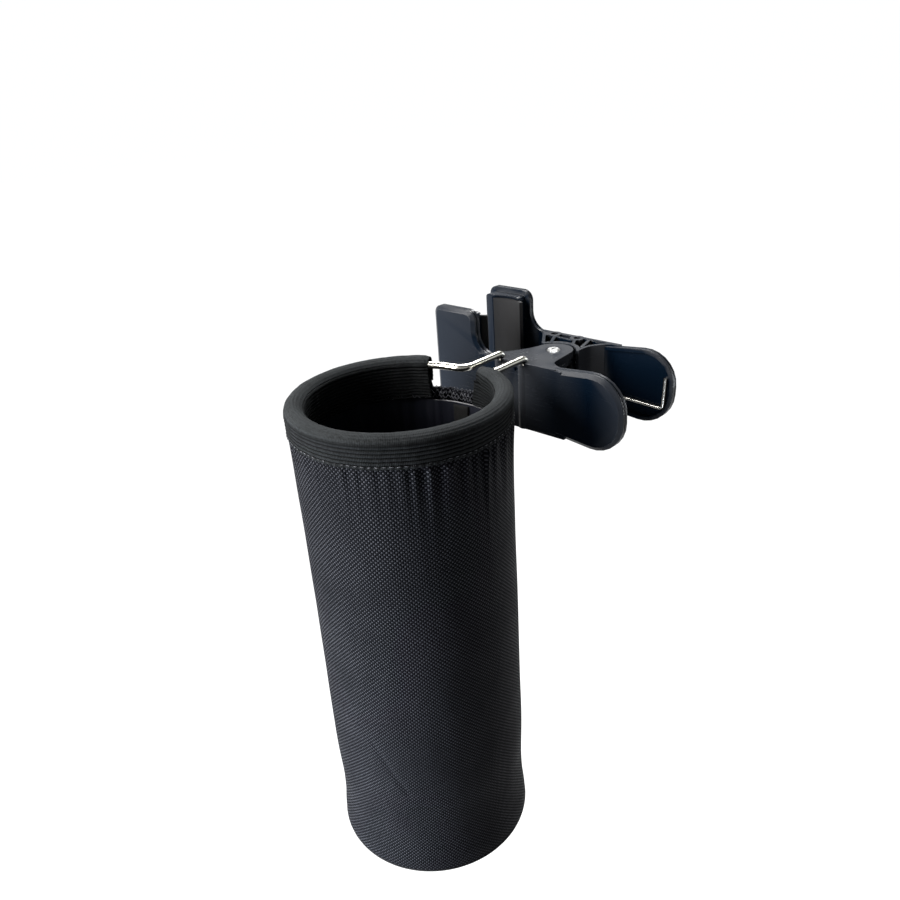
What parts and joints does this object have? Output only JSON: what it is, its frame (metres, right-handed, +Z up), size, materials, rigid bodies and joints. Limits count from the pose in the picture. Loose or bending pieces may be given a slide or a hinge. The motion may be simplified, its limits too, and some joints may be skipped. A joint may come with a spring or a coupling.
{
  "type": "clamp-on drumstick holder",
  "caption": "Open cylindrical fabric pouch on a wire hoop, carried by a spring clamp that grips the round tube of a stand.",
  "frame": {"origin": "on the axis of the gripped tube, at the middle of the jaws' height", "axes": "+Z up along the gripped tube, +X from the jaws towards the handles; the pouch hangs on the -Y side"},
  "size_m": [0.1338, 0.1897, 0.2875],
  "materials": {
    "clamp_plastic": "satin moulded black",
    "pad_rubber": "matte",
    "zinc_steel": "zinc plated",
    "spring_steel": "drawn wire",
    "plated_wire": "polished nickel plate",
    "elastic": "ribbed woven elastic",
    "outer_fabric": "coarse woven nylon with sheen",
    "lining_fabric": "smooth coated lining",
    "seam_tape": "woven tape",
    "board": "plain"
  },
  "bodies": {
    "near_half": {"near_clamp_half": "clamp_plastic", "near_jaw_pad": "pad_rubber", "pivot_screw": "zinc_steel", "pivot_spacer": "zinc_steel", "pivot_washer": "zinc_steel", "pivot_nut": "zinc_steel", "torsion_coil": "spring_steel", "spring_near_leg": "spring_steel"},
    "far_half": {"far_clamp_half": "clamp_plastic", "far_jaw_pad": "pad_rubber", "spring_far_leg": "spring_steel"},
    "pouch": {"wire_hoop": "plated_wire", "rim_binding": "elastic", "bag_wall": "outer_fabric", "bag_lining": "lining_fabric", "top_hem": "outer_fabric", "side_seam_tape": "seam_tape", "bag_bottom": "outer_fabric", "bottom_board": "board", "bottom_lining": "lining_fabric", "bottom_piping": "seam_tape"}
  },
  "joints": [
    {"name": "jaw_hinge", "type": "hinge", "parent": "near_half", "child": "far_half", "pos_m": [0.045, 0, 0], "axis": [0, 0, -1], "range_deg": [-26, 30], "stiffness_Nm_per_rad": 0.4, "springref_deg": -91.67},
    {"name": "hoop_lift", "type": "slide", "parent": "near_half", "child": "pouch", "axis": [0, 0, 1], "range_m": [0, 0.018]}
  ]
}
